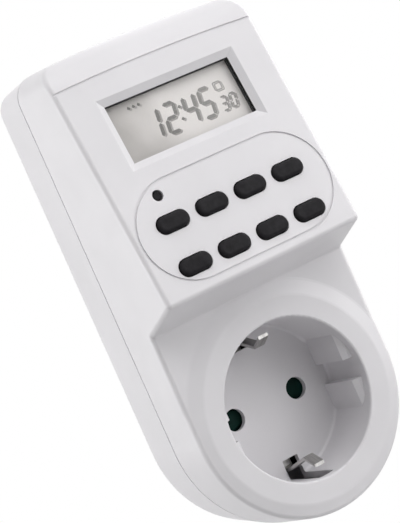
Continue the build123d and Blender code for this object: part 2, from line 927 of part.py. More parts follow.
with BuildPart() as relay_cover:
    with BuildSketch(front_plane(relay_front)):
        with Locations((relay_across, relay_height)):
            Rectangle(relay_width, relay_length)
    extrude(amount=relay_top - relay_front)
    fillet(flush_edges(relay_cover, relay_top), relay_wall / 2)
    with BuildSketch(front_plane(relay_front)):
        with Locations((relay_across, relay_height)):
            Rectangle(relay_width - 2 * relay_wall, relay_length - 2 * relay_wall)
    extrude(amount=relay_top - relay_wall - relay_front, mode=Mode.SUBTRACT)
relay_cover.part.label = "relay_cover"
export_step(relay_cover.part, "parts/relay_cover.step")

with BuildPart() as relay_coil:
    with BuildSketch(Plane.XY.offset(coil_low)):
        with Locations((relay_across, -coil_middle)):
            Circle(coil_radius)
    extrude(amount=coil_high - coil_low)
    for flange_foot in (coil_low, coil_high - relay_wall):
        with BuildSketch(Plane.XY.offset(flange_foot)):
            with Locations((relay_across, -(relay_front + flange_top_depth) / 2)):
                Rectangle(bobbin_flange, flange_top_depth - relay_front)
        extrude(amount=relay_wall)
    with BuildSketch(Plane.XY.offset(coil_low)):
        with Locations((relay_across, -coil_middle)):
            Circle(core_radius + running)
    extrude(amount=coil_high - coil_low, mode=Mode.SUBTRACT)
relay_coil.part.label = "relay_coil"
export_step(relay_coil.part, "parts/relay_coil.step")

yoke_low = coil_low - seat - iron
yoke_high = coil_high + yoke_rise
armature_low = yoke_high + armature_gap
with BuildPart() as relay_yoke:
    with BuildSketch(Plane.YZ.offset(relay_across)):
        with BuildLine():
            Polyline(
                (-(relay_front + iron), yoke_low),
                (-yoke_top, yoke_low),
                (-yoke_top, yoke_high),
                (-(yoke_top - iron), yoke_high),
                (-(yoke_top - iron), yoke_low + iron),
                (-(relay_front + iron), yoke_low + iron),
                close=True,
            )
        make_face()
    extrude(amount=coil_radius, both=True)
    with BuildSketch(Plane.XY.offset(yoke_low)):
        with Locations((relay_across, -coil_middle)):
            Circle(core_radius)
    extrude(amount=armature_low - pole_gap - yoke_low)
relay_yoke.part.label = "relay_yoke"
export_step(relay_yoke.part, "parts/relay_yoke.step")

armature_high = armature_low + iron
armature_end = relay_front + armature_inset
blade_end = relay_front + blade_inset
contact_middle = (armature_end + blade_end) / 2
with BuildPart() as relay_armature:
    with BuildSketch(Plane.XY.offset(armature_low)):
        with Locations((relay_across, -(yoke_top + armature_end) / 2)):
            Rectangle(2 * coil_radius, yoke_top - armature_end)
    extrude(amount=iron)
    with BuildSketch(Plane.XY.offset(armature_high)):
        with Locations((relay_across, -(yoke_top - iron + blade_end) / 2)):
            Rectangle(strip_width, yoke_top - iron - blade_end)
    extrude(amount=blade_thickness)
    with BuildSketch(Plane.XY.offset(armature_high)):
        with Locations((relay_across, -contact_middle)):
            Circle(button_radius)
    extrude(amount=-button_height)
relay_armature.part.label = "relay_armature"
export_step(relay_armature.part, "parts/relay_armature.step")

fixed_contact_top = armature_high - button_height - button_gap - button_seat
with BuildPart() as relay_contact:
    with BuildSketch(Plane.XY.offset(fixed_contact_top)):
        with Locations((relay_across, -(relay_front + armature_end - slip) / 2)):
            Rectangle(strip_width, armature_end - slip - relay_front)
    extrude(amount=-strip)
    with BuildSketch(Plane.XY.offset(fixed_contact_top)):
        with Locations((relay_across, -contact_middle)):
            Circle(button_radius)
    extrude(amount=button_seat)
relay_contact.part.label = "relay_contact"
export_step(relay_contact.part, "parts/relay_contact.step")

# Other parts on the power board
with BuildPart() as film_capacitor:
    with BuildSketch(front_plane(power_front)):
        with Locations((film_across, film_height)):
            Rectangle(film_width, film_length)
    extrude(amount=film_reach)
    fillet(film_capacitor.edges().filter_by(Axis.Y), component_edge)
    fillet(flush_edges(film_capacitor, power_front + film_reach), component_edge / 2)
film_capacitor.part.label = "film_capacitor"
export_step(film_capacitor.part, "parts/film_capacitor.step")

with BuildPart() as smoothing_capacitor:
    with BuildSketch(front_plane(power_front)):
        with Locations((can_across, can_height)):
            Circle(can_radius)
    extrude(amount=can_reach)
    fillet(smoothing_capacitor.edges(), component_edge)
smoothing_capacitor.part.label = "smoothing_capacitor"
export_step(smoothing_capacitor.part, "parts/smoothing_capacitor.step")

with BuildPart() as rectifier_diodes:
    for number in range(diode_count):
        across = diode_across + number * diode_pitch
        add(axial_component(across, diode_height, diode_radius, diode_length))
rectifier_diodes.part.label = "rectifier_diodes"
export_step(rectifier_diodes.part, "parts/rectifier_diodes.step")

with BuildPart() as resistors:
    for across in (resistor_across, resistor_across + resistor_pitch):
        add(axial_component(across, diode_height, resistor_radius, resistor_length))
resistors.part.label = "resistors"
export_step(resistors.part, "parts/resistors.step")

disc_middle = power_front + disc_radius + slip
with BuildPart() as varistor:
    with BuildSketch(side_plane(disc_across)):
        with Locations((-disc_middle, disc_height)):
            Circle(disc_radius)
    extrude(amount=disc_thickness / 2, both=True)
    fillet(varistor.edges(), component_edge)
    with BuildSketch(front_plane(power_front)):
        with Locations((disc_across, disc_height - disc_radius / 2)):
            Circle(lead_radius)
        with Locations((disc_across, disc_height + disc_radius / 2)):
            Circle(lead_radius)
    extrude(amount=disc_radius)
varistor.part.label = "varistor"
export_step(varistor.part, "parts/varistor.step")

# Flat cable from the power board to the logic board
cable_height = power_head - cable_inset
cable_end = face_point(cable_along, logic_back)
cable_lead = face_point(cable_along, logic_back + cable_stub)
with BuildPart() as flat_cable:
    with BuildLine() as cable_path:
        FilletPolyline(
            (0, -power_front, cable_height),
            (0, -power_front - cable_stub, cable_height),
            (0, (cable_lead[0] - power_front - cable_stub) / 2, cable_height - cable_stub),
            (0, *cable_lead),
            (0, *cable_end),
            radius=cable_bend,
        )
    with BuildSketch(front_plane(power_front)):
        with Locations((0, cable_height)):
            Rectangle(cable_width, cable_thickness)
    sweep(path=cable_path.wires()[0])
flat_cable.part.label = "flat_cable"
export_step(flat_cable.part, "parts/flat_cable.step")

# Plug pins: head inside the plug body, shoulder in its end wall, long round-tipped pin
plug_inside_end = plug_length - plug_end_wall
pin_head_front = plug_inside_end - pin_head_length
pin_middles = {"live_pin": -pin_across, "neutral_pin": pin_across}
for pin_name, pin_middle in pin_middles.items():
    with BuildPart() as pin:
        with BuildSketch(front_plane(-plug_inside_end)):
            with Locations((pin_middle, 0)):
                Circle(pin_head_radius)
        extrude(amount=pin_head_length)
        with BuildSketch(front_plane(-pin_head_front)):
            with Locations((pin_middle, 0)):
                Circle(rivet_radius)
        extrude(amount=strip)
        with BuildSketch(front_plane(-plug_inside_end)):
            with Locations((pin_middle, 0)):
                Circle(pin_shoulder)
        extrude(amount=-plug_end_wall)
        with BuildSketch(front_plane(-plug_length)):
            with Locations((pin_middle, 0)):
                Circle(pin_radius)
        extrude(amount=-pin_length)
        fillet(flush_edges(pin, -plug_length - pin_length), pin_tip_radius)
    pin.part.label = pin_name
    export_step(pin.part, f"parts/{pin_name}.step")

# Carrier: moulded block that fills the plug body and holds the contacts
carrier_front = shutter_back - shutter_gap - earth_sheet
carrier_back = pin_head_front - strip - seat
contact_inner = pin_radius + running
contact_outer = contact_inner + contact_wall
contact_front = carrier_front
contact_back = contact_front - contact_length
pocket_radius = contact_outer + running
foot_pocket_radius = pocket_radius + strip + seat
feed_height = foot_pocket_radius + feed_offset
with BuildPart() as contact_carrier:
    with BuildSketch(front_plane(carrier_front)):
        Circle(plug_inner_radius - seat)
        Rectangle(
            2 * (plug_inner_width - seat),
            2 * (plug_inner_height - seat),
            mode=Mode.INTERSECT,
        )
    extrude(amount=-(carrier_front + carrier_back))
    with BuildSketch(front_plane(wall)):
        Circle(flange_reach)
        for side in (-1, 1):
            with Locations((0, side * (groove_floor + reach / 2 - slip))):
                Rectangle(earth_slot, reach, mode=Mode.SUBTRACT)
    extrude(amount=flange_thickness)
    with BuildSketch(front_plane(carrier_front)):
        with Locations((-pin_across, 0), (pin_across, 0)):
            Circle(pocket_radius)
    extrude(amount=-(carrier_front - contact_back), mode=Mode.SUBTRACT)
    with BuildSketch(front_plane(contact_back)):
        with Locations((-pin_across, 0), (pin_across, 0)):
            Circle(foot_pocket_radius)
    extrude(amount=-(contact_back + carrier_back), mode=Mode.SUBTRACT)
    with BuildSketch(front_plane(carrier_front)):
        with Locations((-pin_across, feed_height + strip / 2)):
            Rectangle(strip_width + 2 * seat, strip + 2 * seat)
    extrude(amount=-(carrier_front + carrier_back), mode=Mode.SUBTRACT)
    with BuildSketch(front_plane(carrier_front)):
        with Locations((-pin_across, feed_height + plug_inner_radius / 2)):
            Rectangle(strip_width + 2 * seat, plug_inner_radius)
    extrude(amount=-(carrier_front - power_front + seat), mode=Mode.SUBTRACT)
contact_carrier.part.label = "contact_carrier"
export_step(contact_carrier.part, "parts/contact_carrier.step")

# Live feed: strip from the live pin forward through the carrier and up to the power board
feed_end = power_foot + feed_lap
with BuildPart() as live_feed:
    with BuildSketch(front_plane(-pin_head_front)):
        with Locations((-pin_across, (feed_height + strip - pin_head_radius) / 2)):
            Rectangle(strip_width, feed_height + strip + pin_head_radius)
        with Locations((-pin_across, 0)):
            Circle(rivet_radius, mode=Mode.SUBTRACT)
    extrude(amount=strip)
    with BuildSketch(front_plane(-pin_head_front)):
        with Locations((-pin_across, feed_height + strip / 2)):
            Rectangle(strip_width, strip)
    extrude(amount=pin_head_front + power_front + strip)
    with BuildSketch(front_plane(power_front)):
        with Locations((-pin_across, (feed_height + feed_end) / 2)):
            Rectangle(strip_width, feed_end - feed_height)
    extrude(amount=strip)
live_feed.part.label = "live_feed"
export_step(live_feed.part, "parts/live_feed.step")

# Spring contacts: slit tubes for a plug pin, each with a strip up to the power board
tail_end = relay_height - relay_length / 2 - tail_gap


def contact_form(middle):
    """Slit tube at a pin's place, with its strip up to the power board."""
    with BuildPart() as contact:
        with BuildSketch(front_plane(contact_front)):
            with Locations((middle, 0)):
                Circle(contact_outer)
        extrude(amount=-contact_length)
        with BuildSketch(front_plane(contact_front)):
            with Locations((middle, tail_end / 2)):
                Rectangle(strip_width, tail_end)
        extrude(amount=strip)
        with BuildSketch(front_plane(power_front)):
            with Locations((middle, tail_end - strip / 2)):
                Rectangle(strip_width, strip)
        extrude(amount=contact_front + strip - power_front)
        with BuildSketch(front_plane(contact_front + strip)):
            with Locations((middle, 0)):
                Circle(contact_inner)
            with Locations((middle, -contact_outer / 2)):
                Rectangle(contact_slit, contact_outer)
        extrude(amount=-(contact_length + strip), mode=Mode.SUBTRACT)
    return contact.part


live_tube = contact_form(-pin_across)
neutral_tube = contact_form(pin_across)
with BuildPart() as live_contact:
    add(live_tube)
live_contact.part.label = "live_contact"
export_step(live_contact.part, "parts/live_contact.step")

# The neutral contact also runs back to the neutral pin, where it is riveted
neutral_leg = pin_across + contact_outer - strip
with BuildPart() as neutral_contact:
    add(neutral_tube)
    with BuildSketch(front_plane(contact_back)):
        with Locations((neutral_leg + strip / 2, 0)):
            Rectangle(strip, strip_width)
    extrude(amount=-(contact_back + pin_head_front))
    with BuildSketch(front_plane(-pin_head_front)):
        with Locations(((pin_across + neutral_leg + strip - 2 * rivet_radius) / 2, 0)):
            Rectangle(neutral_leg + strip - pin_across + 2 * rivet_radius, strip_width)
        with Locations((pin_across, 0)):
            Circle(rivet_radius, mode=Mode.SUBTRACT)
    extrude(amount=strip)
neutral_contact.part.label = "neutral_contact"
export_step(neutral_contact.part, "parts/neutral_contact.step")

# Earth strap: bar behind the recess floor, spring clips into it, arms along the plug
arm_foot = groove_floor + running
arm_end = -(plug_length - plug_end_radius)
bar_front = carrier_front + earth_sheet
with BuildPart() as earth_strap:
    with BuildSketch(front_plane(carrier_front)):
        Rectangle(earth_width, 2 * (arm_foot + earth_sheet))
    extrude(amount=earth_sheet)
    with BuildSketch(Plane.YZ):
        for side in (-1, 1):
            with Locations((-(bar_front + arm_end) / 2, side * (arm_foot + earth_sheet / 2))):
                Rectangle(bar_front - arm_end, earth_sheet)
    extrude(amount=earth_width / 2, both=True)
    with BuildSketch(Plane.YZ):
        with BuildLine() as clip_outline:
            Polyline(
                (-carrier_front, arm_foot),
                (-recess_floor, arm_foot),
                (-clip_crest_depth, clip_crest),
                (-clip_tip_depth, clip_tip),
                (-clip_tip_depth, clip_tip + earth_sheet),
                (-clip_crest_depth, clip_crest + earth_sheet),
                (-recess_floor, arm_foot + earth_sheet),
                (-carrier_front, arm_foot + earth_sheet),
                close=True,
            )
        clip_face = make_face(clip_outline.edges())
        mirror(clip_face, about=Plane.XZ)
    extrude(amount=clip_width / 2, both=True)
    crest_edges = [
        edge
        for edge in earth_strap.edges().filter_by(Axis.X)
        if abs(edge.center().Y + clip_crest_depth) < nearly
    ]
    fillet(crest_edges, earth_sheet)
earth_strap.part.label = "earth_strap"
export_step(earth_strap.part, "parts/earth_strap.step")

# Child-safety shutter that turns behind the recess floor
wing_height = shutter_reach * tan(radians(shutter_half_angle))
with BuildPart() as shutter:
    with BuildSketch(front_plane(shutter_front)):
        Polygon(
            (0, 0),
            (shutter_reach, wing_height),
            (shutter_reach, -wing_height),
            align=None,
        )
        Polygon(
            (0, 0),
            (-shutter_reach, -wing_height),
            (-shutter_reach, wing_height),
            align=None,
        )
        Circle(shutter_reach, mode=Mode.INTERSECT)
        Circle(shutter_hub)
        with Locations((0, lug_reach / 2)):
            Rectangle(lug_width, lug_reach)
        Circle(pivot_radius + running, mode=Mode.SUBTRACT)
    extrude(amount=-shutter_thickness)
    ramp_edges = [
        edge
        for edge in flush_edges(shutter, shutter_front).filter_by(GeomType.LINE)
        if edge.length > shutter_hub
    ]
    chamfer(ramp_edges, shutter_thickness / 2)
shutter.part.label = "shutter"
export_step(shutter.part, "parts/shutter.step")

# Return spring between the shutter's lug and the stop on the recess floor
spring_start = lug_width / 2 + spring_wire / 2 + running
spring_length = spring_stop - spring_wire / 2 - running - spring_start
spring_centre = (spring_start, -(shutter_front + shutter_back) / 2, spring_height)
with BuildPart() as shutter_spring:
    with BuildLine() as coil_path:
        Helix(
            spring_length / spring_turns,
            spring_length,
            spring_radius,
            center=spring_centre,
            direction=(1, 0, 0),
        )
    with BuildSketch(Plane(origin=coil_path.line @ 0, z_dir=coil_path.line % 0)):
        Circle(spring_wire / 2)
    sweep(path=coil_path.line, is_frenet=True)
shutter_spring.part.label = "shutter_spring"
export_step(shutter_spring.part, "parts/shutter_spring.step")

# Four screws that close the case from the back
with BuildPart() as case_screws:
    with BuildSketch(front_plane(screw_seat)):
        with Locations(*case_screw_points):
            Circle(screw_head_radius)
    extrude(amount=-screw_head_height)
    with BuildSketch(front_plane(screw_seat)):
        with Locations(*case_screw_points):
            Circle(screw_radius)
    extrude(amount=screw_length)
    with BuildSketch(front_plane(screw_seat - screw_head_height)):
        with Locations(*case_screw_points):
            Rectangle(2 * screw_radius, screw_radius / 2)
            Rectangle(screw_radius / 2, 2 * screw_radius)
    extrude(amount=screw_head_height / 2, mode=Mode.SUBTRACT)
case_screws.part.label = "case_screws"
export_step(case_screws.part, "parts/case_screws.step")
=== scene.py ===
# %% [markdown]
# # Digital plug-in timer
# This lesson dresses a plug-in timer: a white moulded case with a tilted display and key panel
# over a round earthed socket, and a round plug on its back. The hard shapes come ready made, as
# a fixed frame of separate parts. Here they get finishes, light and a camera, the display gets
# its digits, and the shutter's rigid spring is replaced by a coil of wire.

from math import cos, radians, sin

import bmesh
import bpy
from mathutils import Matrix, Vector


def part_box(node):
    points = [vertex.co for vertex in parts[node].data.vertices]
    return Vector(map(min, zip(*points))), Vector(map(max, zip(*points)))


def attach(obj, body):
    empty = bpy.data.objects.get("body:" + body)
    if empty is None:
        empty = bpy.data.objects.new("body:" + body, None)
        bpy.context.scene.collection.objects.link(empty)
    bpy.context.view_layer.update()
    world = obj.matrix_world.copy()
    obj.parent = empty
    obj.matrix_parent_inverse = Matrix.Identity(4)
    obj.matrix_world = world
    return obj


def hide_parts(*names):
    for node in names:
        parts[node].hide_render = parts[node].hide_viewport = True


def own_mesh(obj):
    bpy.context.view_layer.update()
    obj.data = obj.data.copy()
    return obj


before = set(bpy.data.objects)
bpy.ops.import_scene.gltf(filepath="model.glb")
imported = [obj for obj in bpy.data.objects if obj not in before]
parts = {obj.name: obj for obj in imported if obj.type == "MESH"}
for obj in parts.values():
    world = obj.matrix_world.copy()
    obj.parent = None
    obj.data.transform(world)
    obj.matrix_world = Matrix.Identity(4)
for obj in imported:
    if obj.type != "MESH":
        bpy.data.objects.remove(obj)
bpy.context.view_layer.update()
scene = bpy.context.scene

# %% [markdown]
# ## Camera
# A catalogue picture like this is taken from some distance, so that the case keeps parallel
# sides. A long lens does that. The camera could be aimed with a Track To constraint, but the
# picture is also rolled to one side, so its three axes are written down and turned into a
# rotation matrix.

# %% Camera
right = Vector((0.80893299, -0.42610231, -0.40504844))
down = Vector((-0.38376762, 0.13920815, -0.9128765))
forward = Vector((0.44536483, 0.89390039, -0.0509142))
camera_place = Vector((-0.198567, -0.410743, 0.061482))
focal_length = 1804.272  # in pixels, like the height
picture_height = 523
camera_data = bpy.data.cameras.new("camera")
camera_data.sensor_width = 36.0
camera_data.lens = camera_data.sensor_width * focal_length / picture_height
camera_data.clip_start = 0.01
camera = bpy.data.objects.new("camera", camera_data)
scene.collection.objects.link(camera)
turn = Matrix((right, -down, -forward)).transposed().to_4x4()
camera.matrix_world = Matrix.Translation(camera_place) @ turn
scene.camera = camera
print("lens", round(camera_data.lens, 1), "mm, at", tuple(camera_place))

# %% [markdown]
# ## Tools that start a finish
# Every finish here is a Principled shader fed by a few textures. Textures read Object
# coordinates, which are metres on the real thing, so a noise of scale 2000 has grains of half a
# millimetre wherever it is used. Each finish could be wired by hand in the Shader Editor, but
# four small helpers keep them short and alike: one starts a material, one adds a node, one gives
# the coordinates and one makes a noise that reads them.

# %% Tools that start a finish


def new_finish(name, **sockets):
    """A material whose Principled shader has these steady values on its own sockets."""
    finish = bpy.data.materials.new(name)
    finish.use_nodes = True
    shader = finish.node_tree.nodes["Principled BSDF"]
    for socket, value in sockets.items():
        shader.inputs[socket.replace("_", " ")].default_value = value
    return finish


def node_of(finish, kind, **values):
    """A new node in a finish, with some of its settings."""
    node = finish.node_tree.nodes.new(kind)
    for setting, value in values.items():
        setattr(node, setting, value)
    return node


def place_of(finish, stretch=(1, 1, 1), turned=(0, 0, 0), start=(0, 0, 0)):
    """Object coordinates, stretched, turned or moved by a Mapping node."""
    where = node_of(finish, "ShaderNodeTexCoord")
    mapping = node_of(finish, "ShaderNodeMapping")
    mapping.inputs["Scale"].default_value = stretch
    mapping.inputs["Rotation"].default_value = turned
    mapping.inputs["Location"].default_value = start
    finish.node_tree.links.new(where.outputs["Object"], mapping.inputs["Vector"])
    return mapping.outputs["Vector"]


def noise_of(finish, scale, detail, place=None):
    """A noise texture that reads Object coordinates unless it is given a place."""
    noise = node_of(finish, "ShaderNodeTexNoise")
    noise.inputs["Scale"].default_value = scale
    noise.inputs["Detail"].default_value = detail
    finish.node_tree.links.new(place or place_of(finish), noise.inputs["Vector"])
    return noise.outputs["Fac"]


print("helpers that start a finish: new_finish, node_of, place_of, noise_of")

# %% [markdown]
# ## Tools that feed the shader
# A texture drives the base colour, the roughness or the way the surface faces. Three helpers
# make these links: a Color Ramp and a Map Range lead from a low value to a high one, and a Bump
# node raises the surface by a height in metres. The usual spans, 0.35 to 0.65 and 0.3 to 0.7,
# are where most of a noise lies, so the whole of each range is used. A last helper puts a finish
# on parts.

# %% Tools that feed the shader


def colour_from(finish, texture, low, high, span=(0.35, 0.65)):
    """Spreads a texture between two colours on the base colour."""
    ramp = node_of(finish, "ShaderNodeValToRGB")
    ramp.color_ramp.elements[0].position = span[0]
    ramp.color_ramp.elements[1].position = span[1]
    ramp.color_ramp.elements[0].color = (*low, 1)
    ramp.color_ramp.elements[1].color = (*high, 1)
    shader = finish.node_tree.nodes["Principled BSDF"]
    finish.node_tree.links.new(texture, ramp.inputs["Fac"])
    finish.node_tree.links.new(ramp.outputs["Color"], shader.inputs["Base Color"])


def roughness_from(finish, texture, low, high):
    """Spreads a texture between two roughnesses."""
    spread = node_of(finish, "ShaderNodeMapRange")
    spread.inputs["From Min"].default_value = 0.3
    spread.inputs["From Max"].default_value = 0.7
    spread.inputs["To Min"].default_value = low
    spread.inputs["To Max"].default_value = high
    shader = finish.node_tree.nodes["Principled BSDF"]
    finish.node_tree.links.new(texture, spread.inputs["Value"])
    finish.node_tree.links.new(spread.outputs["Result"], shader.inputs["Roughness"])


def bump_from(finish, texture, height, strength):
    """Raises the surface by a texture, by up to height in metres."""
    bump = node_of(finish, "ShaderNodeBump")
    bump.inputs["Strength"].default_value = strength
    bump.inputs["Distance"].default_value = height
    shader = finish.node_tree.nodes["Principled BSDF"]
    finish.node_tree.links.new(texture, bump.inputs["Height"])
    finish.node_tree.links.new(bump.outputs["Normal"], shader.inputs["Normal"])


def dress(finish, *names):
    """Gives a finish to parts by name."""
    for name in names:
        parts[name].data.materials.clear()
        parts[name].data.materials.append(finish)
    print(finish.name, "on", len(names), "parts")


print("helpers that feed the shader: colour_from, roughness_from, bump_from, dress")

# %% [markdown]
# ## White case
# Both shells are injection moulded in a satin white plastic. A flat white looks like paper, and
# a painted picture would need its own layout for every face, so three noises do the work: the
# colour wanders by a few parts in a hundred over a few centimetres, the gloss changes in patches
# where hands touch, and a very fine spark-eroded grain breaks up the highlights.

# %% White case
white_case = new_finish("white_case", IOR=1.49)
case_drift = noise_of(white_case, 45, 4)
colour_from(white_case, case_drift, (0.685, 0.672, 0.692), (0.715, 0.701, 0.722))
roughness_from(white_case, noise_of(white_case, 110, 3), 0.34, 0.46)
bump_from(white_case, noise_of(white_case, 4200, 2), height=0.000012, strength=0.5)
dress(white_case, "front_case", "rear_case")

# %% [markdown]
# ## Rubber keys
# The keys are charcoal silicone rubber. A sheen layer could give its soft look, but rubber is
# simply rough and mirrors very little, so a high roughness and a low specular level do it; at
# the usual level the white surroundings would turn it grey. Slightly lighter patches, about a
# millimetre across, stand for the dust that such keys hold.

# %% Rubber keys
key_rubber = new_finish("key_rubber", IOR=1.4, Specular_IOR_Level=0.2)
key_dust = noise_of(key_rubber, 900, 5)
colour_from(key_rubber, key_dust, (0.005, 0.0045, 0.0055), (0.0105, 0.0095, 0.0115))
roughness_from(key_rubber, noise_of(key_rubber, 400, 3), 0.5, 0.68)
bump_from(key_rubber, noise_of(key_rubber, 3500, 3), height=0.00002, strength=0.6)
key_names = [f"key_{number}" for number in range(1, 9)]
dress(key_rubber, *key_names, "reset_key")

# %% [markdown]
# ## Display window
# A thin clear pane lies behind the bevel. Real refraction would need many light bounces for
# almost no change of view, so the pane is nearly see-through by its alpha. Its own colour is a
# dark smoke, because a pale one would lay a white haze over the black frame behind it. A low,
# wide bump keeps its reflection from being perfectly even.

# %% Display window
clear_window = new_finish("clear_window", Alpha=0.06, IOR=1.49)
smoke = noise_of(clear_window, 60, 2)
colour_from(clear_window, smoke, (0.03, 0.032, 0.031), (0.05, 0.052, 0.051))
roughness_from(clear_window, noise_of(clear_window, 90, 2), 0.03, 0.09)
bump_from(clear_window, noise_of(clear_window, 70, 2), height=0.00001, strength=0.3)
dress(clear_window, "display_window")

# %% [markdown]
# ## Display glass
# The reflector behind a liquid crystal is a warm pearl grey that looks a little cloudy. Its left
# end is painted darker than its right, and that is painted shade: a lamp could make the
# difference, but it would do so from one side only, so it is painted into the finish. A gradient
# along X and a cloudy noise are added up and sent through one colour ramp, and a finer noise gives
# the grain. The gradient, which carries the painted shade, is the X coordinate itself, stretched
# by a Mapping node to run from about 0.2 to 1 across the glass.

# %% Display glass
display_grey = new_finish("display_grey", IOR=1.45, Coat_Weight=0.2, Coat_Roughness=0.12)
across_glass = place_of(display_grey, stretch=(24, 1, 1), start=(0.62, 0, 0))
# The X gradient is painted shade: it darkens the left end of the glass.
slope = node_of(display_grey, "ShaderNodeSeparateXYZ")
display_grey.node_tree.links.new(across_glass, slope.inputs["Vector"])
cloud_share = 0.35
cloudy = node_of(display_grey, "ShaderNodeMath", operation="MULTIPLY_ADD")
cloudy.inputs[1].default_value = cloud_share
display_grey.node_tree.links.new(noise_of(display_grey, 110, 4), cloudy.inputs[0])
display_grey.node_tree.links.new(slope.outputs["X"], cloudy.inputs[2])
colour_from(
    display_grey, cloudy.outputs["Value"], (0.34, 0.32, 0.303), (0.9, 0.865, 0.845),
    span=(0.22, 0.78),
)
roughness_from(display_grey, noise_of(display_grey, 2500, 2), 0.35, 0.5)
bump_from(display_grey, noise_of(display_grey, 5200, 2), height=0.000006, strength=0.4)
dress(display_grey, "display_glass")

# %% [markdown]
# ## Black display frame
# A black moulded frame stops stray light round the display. It shows as the thin dark line along
# the window's upper and right edges. It could be pure black, but nothing real is, so it lies
# between two very dark greys and has a fine grain.

# %% Black display frame
black_frame = new_finish("black_frame", IOR=1.46)
frame_drift = noise_of(black_frame, 500, 4)
colour_from(black_frame, frame_drift, (0.004, 0.004, 0.0045), (0.009, 0.009, 0.01))
roughness_from(black_frame, noise_of(black_frame, 700, 3), 0.45, 0.6)
bump_from(black_frame, noise_of(black_frame, 3800, 2), height=0.00001, strength=0.5)
dress(black_frame, "display_frame")

# %% [markdown]
# ## Plated and sprung metals
# Strip metal has fine drawn lines along its length, because it is rolled. An anisotropic shader
# would only stretch the highlights, and here the lines should show up close too. So a noise draws
# them that is squeezed along one axis, up to thirty times more than along the others. One noise
# drives the colour, the roughness and the bump, so that a line stays one line in all three.

# %% Plated and sprung metals


def drawn_metal(name, low, high, rough, stretch, height=0.000004):
    """A metal with fine lines that run along the axes whose stretch is small."""
    metal = new_finish(name, Metallic=1.0)
    lines = noise_of(metal, 1.0, 4, place_of(metal, stretch))
    colour_from(metal, lines, low, high)
    roughness_from(metal, lines, rough[0], rough[1])
    bump_from(metal, lines, height, strength=0.6)
    return metal


earth_metal = drawn_metal(
    "earth_metal", (0.4, 0.39, 0.385), (0.6, 0.59, 0.575),
    rough=(0.34, 0.48), stretch=(5200, 160, 160),
)
dress(earth_metal, "earth_strap", "cell_tabs")
pin_metal = drawn_metal(
    "pin_metal", (0.5, 0.49, 0.47), (0.58, 0.57, 0.545),
    rough=(0.25, 0.29), stretch=(200, 2600, 200), height=0.0000003,
)
dress(pin_metal, "live_pin", "neutral_pin", "backup_cell", "quartz_crystal")
screw_zinc = drawn_metal(
    "screw_zinc", (0.5, 0.51, 0.52), (0.68, 0.69, 0.7),
    rough=(0.28, 0.42), stretch=(1500, 900, 1500),
)
dress(screw_zinc, "case_screws", "logic_screws", "power_screws")
spring_steel = drawn_metal(
    "spring_steel", (0.4, 0.4, 0.41), (0.58, 0.58, 0.59),
    rough=(0.25, 0.42), stretch=(900, 4200, 900),
)
dress(spring_steel, "shutter_spring", "relay_yoke", "relay_armature")
strip_brass = drawn_metal(
    "strip_brass", (0.62, 0.47, 0.21), (0.76, 0.6, 0.3),
    rough=(0.22, 0.38), stretch=(4200, 200, 200),
)
dress(strip_brass, "live_contact", "neutral_contact", "live_feed", "relay_contact")

# %% [markdown]
# ## Green shutter
# Behind the two holes lies a dark green shutter that keeps fingers and wires out. The holes
# could be made to look deep with plain black, but the shutter really lies there and turns, so it
# gets its own finish: a plain engineering plastic, rougher than the case and hardly mirroring.

# %% Green shutter
shutter_green = new_finish("shutter_green", IOR=1.38, Specular_IOR_Level=0.1)
shutter_drift = noise_of(shutter_green, 320, 4)
colour_from(shutter_green, shutter_drift, (0.001, 0.01, 0.0075), (0.0025, 0.019, 0.0145))
roughness_from(shutter_green, noise_of(shutter_green, 500, 3), 0.42, 0.58)
bump_from(shutter_green, noise_of(shutter_green, 3600, 2), height=0.000012, strength=0.5)
dress(shutter_green, "shutter")

# %% [markdown]
# ## Plastics inside the case
# These are seen only when the case is taken apart, but each still has its own plastic: a black
# resin for the contact carrier, the chip and the relay's base, grey silicone, a blue relay
# cover, a yellow film capacitor and a blue disc. The carrier is black resin, and its black is also
# painted shade: it darkens the clips' slots in the recess so that they look deep. Each could have
# its own nodes, but they differ only in their values, so one helper makes them all.

# %% Plastics inside the case


def moulded(name, low, high, rough, grain=3600, height=0.00001):
    """A plain moulded plastic with a wandering colour and a fine grain."""
    plastic = new_finish(name, IOR=1.48)
    colour_from(plastic, noise_of(plastic, 180, 4), low, high)
    roughness_from(plastic, noise_of(plastic, 420, 3), rough[0], rough[1])
    bump_from(plastic, noise_of(plastic, grain, 2), height, strength=0.5)
    return plastic


grey_silicone = moulded("grey_silicone", (0.06, 0.06, 0.063), (0.085, 0.085, 0.09), (0.6, 0.75))
dress(grey_silicone, "key_mat", "contact_strips")
black_resin = moulded("black_resin", (0.008, 0.008, 0.009), (0.016, 0.016, 0.017), (0.35, 0.5))
# The carrier's black also serves as painted shade in the clips' slots.
dress(black_resin, "contact_carrier", "clock_chip", "relay_base")
relay_blue = moulded("relay_blue", (0.012, 0.075, 0.28), (0.02, 0.1, 0.34), (0.25, 0.35))
dress(relay_blue, "relay_cover")
film_yellow = moulded("film_yellow", (0.6, 0.42, 0.04), (0.68, 0.5, 0.07), (0.22, 0.32))
dress(film_yellow, "film_capacitor")
disc_blue = moulded(
    "disc_blue", (0.015, 0.1, 0.26), (0.03, 0.14, 0.33), (0.3, 0.45), grain=900, height=0.00004
)
dress(disc_blue, "varistor")

# %% [markdown]
# ## Circuit boards
# A board is green lacquer over copper. The copper tracks can be seen as slightly lighter, raised
# lines. They could be modelled, but they are thinner than a hair, so a Brick texture with long
# bricks draws them: its mortar lines are the tracks. The texture lies flat in X and Y, so a
# Mapping node stands it up, as the boards stand in the case.

